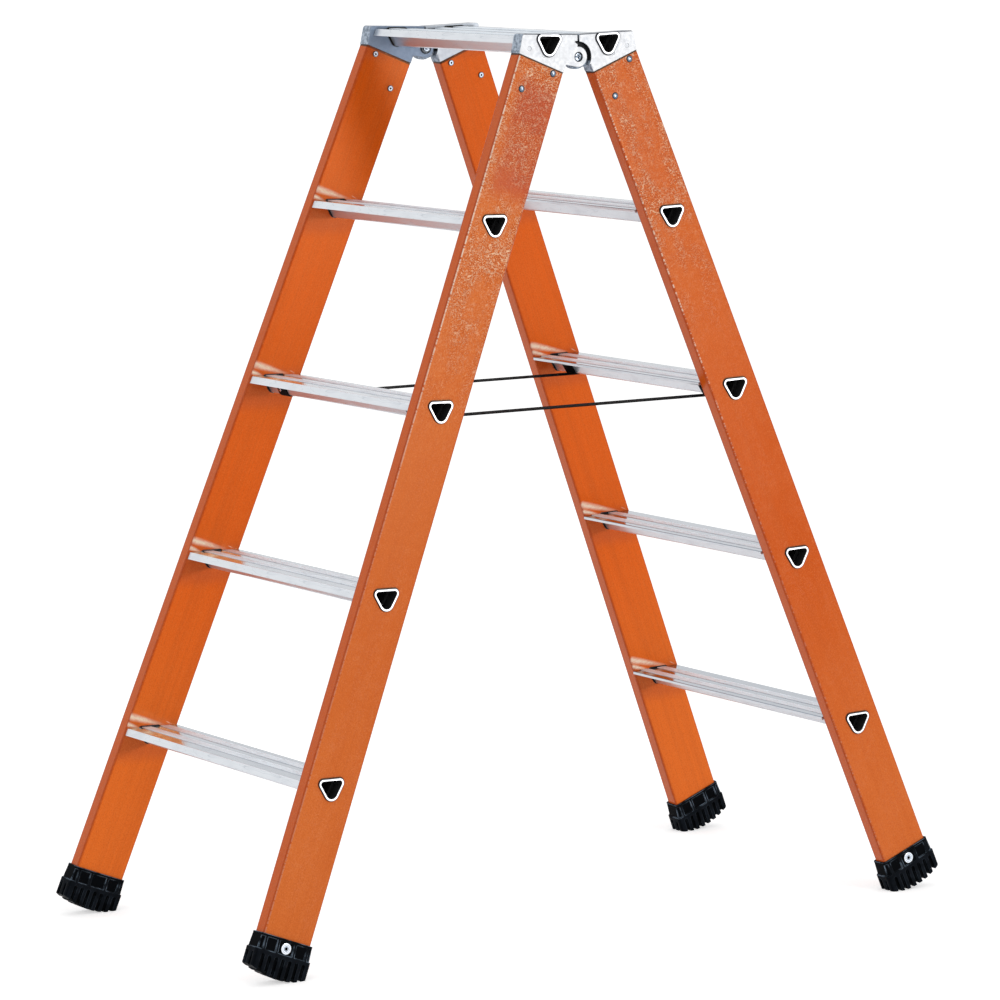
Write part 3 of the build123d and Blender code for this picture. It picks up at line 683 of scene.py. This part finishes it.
for flight, turn in flights:
    name = f"{flight}_top_tread"
    give_material(name, tread_material(name, top_tread_place(turn), turn, head_inner, head_half_width))
    for step in range(4):
        down = first_tread_down + tread_pitch * (3 - step)
        place = Vector((axis_offset + down * sin(lean), 0, top_level - down * cos(lean)))
        place = Matrix.Rotation(turn, 3, "Z") @ place
        name = f"{flight}_tread_{step + 1}"
        outer = top_half_width + down * stile_slope
        give_material(name, tread_material(name, place, turn, outer - stile_width, outer))


# Hinge heads
# Sand-cast aluminium, a fork on the front flight and a tongue on the rear one, each with a spigot inside its
# stile. The broad faces are ground bright, the edges keep the dark, mottled skin of the mould.

pivot_level = top_level - 0.018
head_rise = 0.0136
gap_reach = 0.0212
gap_floor = -0.0040
mottle_grain = (230, 230, 230)
sand_grain = (1400, 1400, 1400)
smear_grain = (60, 60, 90)
face_bright = (0.72, 0.73, 0.75, 1)
# The front heads' inner faces are painted darker as shade from the treads.
face_inner_lit_and_shaded = {"front": (0.27, 0.34, 0.45, 1), "rear": (0.62, 0.66, 0.71, 1)}
mould_skin = (0.52, 0.60, 0.70, 1)
mould_dark = (0.20, 0.25, 0.32, 1)
edge_shade = (0.05, 0.06, 0.08, 1)
gap_shade_black = (0.006, 0.007, 0.009, 1)

# A mask of edges, strong where a rounding of the given radius turns the surface: it carries painted shade
# along the heads' edges and painted highlight along the shoes'.
edge_line, entry, leave = new_group(
    "edge_line",
    [("Radius", "NodeSocketFloat", 0.002), ("Sharpest", "NodeSocketFloat", 0.8)],
    [("Edge", "NodeSocketFloat"), ("Normal", "NodeSocketVector")],
)
rounded = node(edge_line, "ShaderNodeBevel", {"Radius": entry["Radius"]}, samples=8).outputs["Normal"]
flat_normal = node(edge_line, "ShaderNodeNewGeometry").outputs["True Normal"]
turned = node(edge_line, "ShaderNodeVectorMath", {0: rounded, 1: flat_normal}, operation="DOT_PRODUCT")
edge_line.links.new(ramp(edge_line, turned.outputs["Value"], 0.99, entry["Sharpest"]), leave["Edge"])
edge_line.links.new(rounded, leave["Normal"])


def pivot_coordinates(tree):
    """Coordinates about the hinge's axis, turned as the shared frame is."""
    return carried(tree, object_coordinates(tree), (0, 0, pivot_level), (0, 0, 0))


for flight, turn in flights:
    for hand, _ in hands:
        name = f"{flight}_{hand}_hinge_head"
        material, tree, output = new_material(f"{name}_casting")
        coordinates = object_coordinates(tree)
        across = math_node(tree, "ABSOLUTE", split(tree, coordinates)["Y"])
        outer_face = near(tree, across, head_half_width, 0.0007, 0.0002)
        inner_face = ramp(tree, across, head_inner + 0.0008, head_inner + 0.0003)
        ground = largest(tree, outer_face, inner_face)
        mottle = stretched_noise(tree, coordinates, mottle_grain, 4.0)
        sand = stretched_noise(tree, coordinates, sand_grain)
        smear = stretched_noise(tree, coordinates, smear_grain, 3.0)
        colour = blend_colour(tree, ramp(tree, mottle, 0.35, 0.62), mould_dark, mould_skin)
        colour = blend_colour(tree, inner_face, colour, face_inner_lit_and_shaded[flight])
        colour = blend_colour(tree, outer_face, colour, face_bright)
        colour = blend_colour(tree, ramp(tree, smear, 0.54, 0.78, 0.0, 0.22), colour, face_inner_lit_and_shaded["front"])
        colour = blend_colour(tree, ramp(tree, sand, 0.60, 0.80, 0.0, 0.25), colour, mould_skin)
        # Painted shade along the edges.
        edges = use_group(tree, edge_line, {"Radius": 0.0016, "Sharpest": 0.85})["Edge"]
        colour = blend_colour(tree, product(tree, edges, 0.80), colour, edge_shade)

        # The top is bright, with painted shade along its outer edge.
        tread_turn = (0, -tread_tilt, turn)
        tread_frame = carried(tree, object_coordinates(tree), top_tread_place(turn), tread_turn)
        above_tread = split(tree, tread_frame)["Z"]
        top_face = near(tree, above_tread, head_rise, 0.0006, 0.0002, 0.75)
        colour = blend_colour(tree, top_face, colour, face_bright)
        top_edge = between_ramp(tree, above_tread, head_rise - 0.0010, head_rise - 0.0002, 0.0006)
        top_edge = product(tree, top_edge, near(tree, across, head_half_width, 0.0010, 0.0006, 0.85))
        colour = blend_colour(tree, top_edge, colour, edge_shade)

        # Painted shade, black, in the gap round the lug and in the crevices, and painted shade with dirt
        # where the tread's rolled end beds on the face.
        from_tube = use_group(tree, tube_section, {"Vector": tread_frame})["Distance"]
        seam = ramp(tree, from_tube, flange_width + 0.0018, flange_width + 0.0008, 0.0, 0.90)
        about_pivot = split(tree, pivot_coordinates(tree))
        radius = axis_radius(tree, about_pivot["X"], about_pivot["Z"])
        gap = product(
            tree,
            ramp(tree, radius, gap_reach + 0.001, gap_reach),
            ramp(tree, about_pivot["Z"], gap_floor - 0.003, gap_floor),
            math_node(tree, "SUBTRACT", 1.0, ground),
        )
        painted_shade = use_group(tree, crevice, {"Reach": 0.006})["Crevice Shade"]
        painted_shade = largest(tree, painted_shade, product(tree, seam, outer_face), gap)
        colour = blend_colour(tree, painted_shade, colour, gap_shade_black)
        height = math_node(tree, "ADD", mottle, product(tree, sand, 0.5))
        metal = blend_value(tree, ground, 0.25, 0.55)
        rough = blend_value(tree, ground, 0.65, 0.60)
        rough = math_node(tree, "ADD", ramp(tree, mottle, 0.3, 0.7, 0.0, 0.15), rough)
        surface(tree, output, colour, rough, (height, 0.35, 0.0005), {"Metallic": metal})
        give_material(name, material)


# Hinge pins and their collars
# Turned steel pins, headed and set in a recess of the outer lug, with a collar peened on inside. The head is
# scarred by the punch, with painted shade in the ring around it.

pin_bright = (0.50, 0.56, 0.64, 1)
pin_dull = (0.07, 0.09, 0.12, 1)
pin_shade_dark = (0.012, 0.015, 0.020, 1)
pin_rim = (0.0040, 0.0048)
dent_scale = 420.0
for hand, _ in hands:
    for piece in ("hinge_pin", "pin_collar"):
        name = f"{hand}_{piece}"
        material, tree, output = new_material(f"{name}_steel")
        local = pivot_coordinates(tree)
        parts = split(tree, local)
        radius = axis_radius(tree, parts["X"], parts["Z"])
        dents = node(tree, "ShaderNodeTexVoronoi", {"Vector": local, "Scale": dent_scale}).outputs
        colour = blend_colour(tree, ramp(tree, dents["Color"], 0.45, 0.64), pin_dull, pin_bright)
        colour = blend_colour(tree, ramp(tree, radius, *pin_rim, 0.0, 0.95), colour, pin_shade_dark)
        painted_shade = use_group(tree, crevice, {"Reach": 0.003})["Crevice Shade"]
        colour = blend_colour(tree, painted_shade, colour, pin_shade_dark)
        rough = ramp(tree, dents["Distance"], 0.0, 0.7, 0.2, 0.4)
        surface(tree, output, colour, rough, (dents["Distance"], 0.5, 0.0005), {"Metallic": 0.6})
        give_material(name, material)


# Head rivets, shoe rivets and strap eyelets
# Bright zinc-plated steel. The head rivets have a domed head outside and an open tail inside, the shoe rivets
# a broad flange with turned rings, and the eyelets a thin washer pressed through the strap.

zinc_bright = (0.80, 0.85, 0.91, 1)
zinc_dull_and_shade = (0.15, 0.20, 0.27, 1)
zinc_shade_dark = (0.030, 0.035, 0.045, 1)
plating_grain = (420, 420, 420)
polish_grain = (2600, 2600, 500)
wear_grain = (300, 300, 300)
upper_rivet = (stile_start + 0.0067, -(stile_half_depth - 0.0155))
lower_rivet = (stile_start + 0.0417, stile_half_depth - 0.0180)
shoe_rivet_down = 1.2051
# The painted highlight on each dome is moved up and to the minus X side by this much.
dome_shine = 0.0013
dome_crown = (0.0008, 0.0022)
dome_rim = (0.0031, 0.0039)
tail_rim = (0.0026, 0.0034)
tail_dull = 0.50
inner_groove = (0.0028, 0.0033)
outer_groove = (0.0049, 0.0053)
groove_soft = 0.0004
flange_bore = (0.0023, 0.0021)
flange_rim = (0.0069, 0.0074)


def axis_distance(tree, local, down, out):
    """Distance from the line square to a stile at a distance down it and out from its axis."""
    parts = split(tree, local)
    aside = math_node(tree, "SUBTRACT", parts["X"], out)
    return axis_radius(tree, aside, math_node(tree, "ADD", parts["Z"], down / cos(splay)))


def dome_rings(tree, flight, turn, side):
    """A dome has a painted highlight on its upper crown, painted shade below it, and painted shade where it
    meets the stile.
    """
    local = stile_coordinates(tree, turn, side)
    head = ramp(tree, product(tree, split(tree, local)["Y"], side), 0.0, 0.002)
    lit = 1.0
    radius = 1.0
    for down, out in (upper_rivet, lower_rivet):
        shifted = side * out + minus_x_side[flight] * dome_shine
        lit = math_node(tree, "MINIMUM", axis_distance(tree, local, down - dome_shine, shifted), lit)
        radius = math_node(tree, "MINIMUM", axis_distance(tree, local, down, side * out), radius)
    dull = blend_value(tree, head, tail_dull, ramp(tree, lit, *dome_crown))
    tail_dark = ramp(tree, radius, *tail_rim, 0.0, 0.85)
    return dull, blend_value(tree, head, tail_dark, ramp(tree, radius, *dome_rim, 0.0, 0.97))


def flange_rings(tree, flight, turn, side):
    """Turned rings on the flange: two dull grooves, and painted shade under its rim and in its bore."""
    radius = axis_distance(tree, stile_coordinates(tree, turn, side), shoe_rivet_down, 0.0)
    faint = product(tree, between_ramp(tree, radius, *outer_groove, groove_soft), 0.6)
    grooves = math_node(tree, "ADD", between_ramp(tree, radius, *inner_groove, groove_soft), faint)
    return grooves, largest(tree, ramp(tree, radius, *flange_bore), ramp(tree, radius, *flange_rim))


def washer_rings(tree):
    """An eyelet is worn dull in patches and has no rings."""
    return ramp(tree, stretched_noise(tree, object_coordinates(tree), wear_grain), 0.45, 0.7), 0.0


def zinc_material(name, rings, *place):
    """Plated steel: cloudy plating, masks of dull rings and of dark rings of painted shade, and painted shade
    in the hollows.
    """
    material, tree, output = new_material(f"{name}_zinc")
    coordinates = object_coordinates(tree)
    cloud = stretched_noise(tree, coordinates, plating_grain, 3.0)
    fine = stretched_noise(tree, coordinates, polish_grain, 1.0)
    dull, dark = rings(tree, *place)
    colour = blend_colour(tree, ramp(tree, cloud, 0.40, 0.75, 0.0, 0.5), zinc_bright, zinc_dull_and_shade)
    colour = blend_colour(tree, dull, colour, zinc_dull_and_shade)
    painted_shade = use_group(tree, crevice, {"Reach": 0.003})["Crevice Shade"]
    colour = blend_colour(tree, largest(tree, painted_shade, dark), colour, zinc_shade_dark)
    rough = ramp(tree, cloud, 0.3, 0.7, 0.14, 0.30)
    surface(tree, output, colour, rough, (fine, 0.2, 0.0001), {"Metallic": 1.0})
    return material


for flight, turn in flights:
    for hand, side in hands:
        for piece, rings in (("head_rivets", dome_rings), ("shoe_rivet", flange_rings)):
            name = f"{flight}_{hand}_{piece}"
            give_material(name, zinc_material(name, rings, flight, turn, side))
    name = f"{flight}_strap_eyelets"
    give_material(name, zinc_material(name, washer_rings))


# Shoes
# Black rubber mouldings pushed over the stile ends and riveted: a ribbed collar, a thick grooved band and a
# round sole. The collar's edges carry a painted blue-grey highlight and the grooves are painted black as
# shade.

rubber_black = (0.0016, 0.0021, 0.0030, 1)
rubber_proud = (0.0070, 0.0092, 0.0130, 1)
rubber_edge_highlight = (0.28, 0.36, 0.46, 1)
groove_shade = (0.0004, 0.0005, 0.0007, 1)
bloom_grain = (70, 70, 70)
pore_grain = (1300, 1300, 1300)
collar_line = (-0.012 - shoe_rivet_down, -0.009 - shoe_rivet_down)
for flight, turn in flights:
    for hand, side in hands:
        name = f"{flight}_{hand}_shoe"
        material, tree, output = new_material(f"{name}_rubber")
        coordinates = object_coordinates(tree)
        parts = split(tree, stile_coordinates(tree, turn, side))
        edges = use_group(tree, edge_line, {"Radius": 0.0026, "Sharpest": 0.74})
        cloud = stretched_noise(tree, coordinates, bloom_grain, 4.0)
        pores = stretched_noise(tree, coordinates, pore_grain)
        cheek = math_node(tree, "ABSOLUTE", parts["Y"])
        heel = math_node(tree, "ABSOLUTE", parts["X"])
        proud_cheek = ramp(tree, cheek, stile_half_thickness + 0.0024, stile_half_thickness + 0.0040)
        proud_heel = ramp(tree, heel, stile_half_depth + 0.0036, stile_half_depth + 0.0050)
        proud = largest(tree, proud_cheek, proud_heel)
        proud = product(tree, proud, ramp(tree, cloud, 0.36, 0.64, 0.45, 1.0))
        colour = blend_colour(tree, proud, rubber_black, rubber_proud)
        # Painted shade in the grooves.
        painted_shade = product(tree, use_group(tree, crevice, {"Reach": 0.008})["Crevice Shade"], 0.6)
        colour = blend_colour(tree, painted_shade, colour, groove_shade)
        on_collar = ramp(tree, parts["Z"], *collar_line, 0.12, 1.0)
        edge_highlight = product(tree, edges["Edge"], ramp(tree, cloud, 0.40, 0.60, 0.05, 0.85), on_collar)
        colour = blend_colour(tree, edge_highlight, colour, rubber_edge_highlight)
        height = math_node(tree, "ADD", product(tree, pores, 0.4), cloud)
        rough = ramp(tree, cloud, 0.3, 0.7, 0.34, 0.52)
        sheen = {"Specular IOR Level": 0.015}
        surface(tree, output, colour, rough, (height, 0.25, 0.0005), sheen, edges["Normal"])
        give_material(name, material)


# Spreader straps
# Two flat runs of black polyester webbing between the flights, pulled straight, each with a loop sewn round
# the tube of the third tread at both ends and held there by an eyelet.

strap_down = first_tread_down + tread_pitch
strap_half_width = 0.012
strap_half_thickness = 0.0008
strap_gap = 0.0001
strap_inset = 0.0365
strap_end_gap = 0.0003
section_points = 64
tube_centre = Vector((axis_offset + strap_down * sin(lean), 0, top_level - strap_down * cos(lean)))
strap_y = top_half_width + strap_down * stile_slope - stile_width - strap_inset


def flat_band(path, normals, middle_y, half_width, half_thickness):
    """Webbing of a flat, round-edged section carried along a path in the X and Z plane.

    The section is a superellipse of the fourth power, half_width across and half_thickness through; each of
    its points is set off from the path along Y and along the path's normal. One flat face closes each end.
    """
    angle = np.linspace(0.0, 2 * np.pi, section_points, endpoint=False)
    spread = np.sign(np.cos(angle)) * np.abs(np.cos(angle)) ** 0.5
    rise = np.sign(np.sin(angle)) * np.abs(np.sin(angle)) ** 0.5
    across = middle_y + half_width * spread
    lift = half_thickness * rise
    x = path[:, None, 0] + normals[:, None, 0] * lift[None, :]
    z = path[:, None, 1] + normals[:, None, 1] * lift[None, :]
    y = np.broadcast_to(across[None, :], x.shape)
    points = np.stack([x, y, z], axis=-1).reshape(-1, 3)
    rings = len(path)
    first = np.arange(rings - 1)[:, None] * section_points
    second = first + section_points
    column = np.arange(section_points)[None, :]
    after = (column + 1) % section_points
    quads = np.stack([first + column, first + after, second + after, second + column], axis=-1)
    faces = quads.reshape(-1, 4).tolist()
    faces.append(list(range(section_points))[::-1])
    faces.append(list(range((rings - 1) * section_points, rings * section_points)))
    length = np.concatenate([[0.0], np.cumsum(np.hypot(*np.diff(path, axis=0).T))])
    along = np.repeat(length, section_points)
    side = np.tile(half_width * spread, rings)
    return points, faces, along, side


def webbing_piece(name, path, middle_y):
    """Mesh object of one stretch of webbing, with its length and breadth stored for the weave."""
    step = np.gradient(path, axis=0)
    step /= np.hypot(step[:, 0], step[:, 1])[:, None]
    normals = np.stack([-step[:, 1], step[:, 0]], axis=-1)
    points, faces, along, side = flat_band(path, normals, middle_y, strap_half_width, strap_half_thickness)
    mesh = bpy.data.meshes.new(name)
    mesh.from_pydata(points.tolist(), [], faces)
    weave_place = mesh.attributes.new("weave_place", "FLOAT_VECTOR", "POINT")
    weave_place.data.foreach_set("vector", np.stack([along, side, 0 * along], axis=-1).ravel())
    mesh.validate()
    mesh.polygons.foreach_set("use_smooth", np.ones(len(mesh.polygons), dtype=bool))
    mesh.materials.append(webbing)
    piece = bpy.data.objects.new(name, mesh)
    scene.collection.objects.link(piece)
    return piece


webbing_black = (0.002, 0.002, 0.0025, 1)
webbing_worn = (0.006, 0.006, 0.007, 1)
yarn_pitch = 0.0016
fuzz_grain = (900, 900, 900)
rubbed_grain = (40, 130, 40)
webbing, tree, output = new_material("black_webbing")
woven = node(tree, "ShaderNodeAttribute", attribute_name="weave_place").outputs["Vector"]
parts = split(tree, woven)
yarn = 2 * np.pi / yarn_pitch
warp = math_node(tree, "SINE", product(tree, parts["X"], yarn))
weft = math_node(tree, "SINE", product(tree, parts["Y"], yarn * 0.8))
weave = product(tree, warp, weft)
fuzz = stretched_noise(tree, woven, fuzz_grain)
worn = stretched_noise(tree, woven, rubbed_grain, 3.0)
worn = product(tree, ramp(tree, weave, -0.2, 1.0), ramp(tree, worn, 0.4, 0.7))
colour = blend_colour(tree, worn, webbing_black, webbing_worn)
height = math_node(tree, "ADD", weave, fuzz)
rough = ramp(tree, fuzz, 0.3, 0.7, 0.72, 0.92)
surface(tree, output, colour, rough, (height, 0.6, 0.0002), {"Specular IOR Level": 0.08})

# The V of the tube below the plate, in the tread's frame: a straight up each side and an arc round the point.
plate_thickness = 0.0024
leg_clearance = 0.0012
arc_points = 17
leg_points = 14
run_points = 121
point_centre = tube_point + tube_point_radius / sin(tube_half_angle)
wrap_radius = tube_point_radius + strap_gap + strap_half_thickness
plate_under = plate_height - plate_thickness - 2 * strap_gap
arc_angle = np.linspace(-(np.pi / 2 - tube_half_angle), np.pi / 2 - tube_half_angle, arc_points)
arc = np.stack([wrap_radius * np.sin(arc_angle), point_centre - wrap_radius * np.cos(arc_angle)], axis=-1)
rise = (plate_under - leg_clearance - arc[-1, 1]) / cos(tube_half_angle)
climb = np.linspace(0.0, rise, leg_points)[1:]
leg = arc[-1] + climb[:, None] * np.array([sin(tube_half_angle), cos(tube_half_angle)])
loop_path = np.concatenate([(leg * (-1, 1))[::-1], arc, leg])
tilted_path = np.stack(
    [
        loop_path[:, 0] * cos(tread_tilt) - loop_path[:, 1] * sin(tread_tilt),
        loop_path[:, 0] * sin(tread_tilt) + loop_path[:, 1] * cos(tread_tilt),
    ],
    axis=-1,
)

# Each run lies level under the points of the two tubes and ends just short of the loops.
run_point = tube_centre.x - point_centre * sin(tread_tilt)
run_level = tube_centre.z + point_centre * cos(tread_tilt) - wrap_radius
outside = wrap_radius + strap_half_thickness
inside = wrap_radius - strap_half_thickness
run_end = run_point - sqrt(outside ** 2 - inside ** 2) - strap_end_gap
run_x = np.linspace(-run_end, run_end, run_points)
run_path = np.stack([run_x, np.full_like(run_x, run_level)], axis=-1)
for hand, side in (("right", -1), ("left", 1)):
    run = webbing_piece(f"{hand}_strap_webbing", run_path, side * strap_y)
    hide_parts(f"{hand}_strap")
    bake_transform(run)
for flight, way in (("front", -1), ("rear", 1)):
    for hand, side in hands:
        path = (tilted_path + (tube_centre.x, 0)) * (way, 1) + (0, tube_centre.z)
        loop = webbing_piece(f"{flight}_{hand}_loop_webbing", path, way * side * strap_y)
        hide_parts(f"{flight}_{hand}_strap_loop")
        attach(loop, f"{flight}_flight")
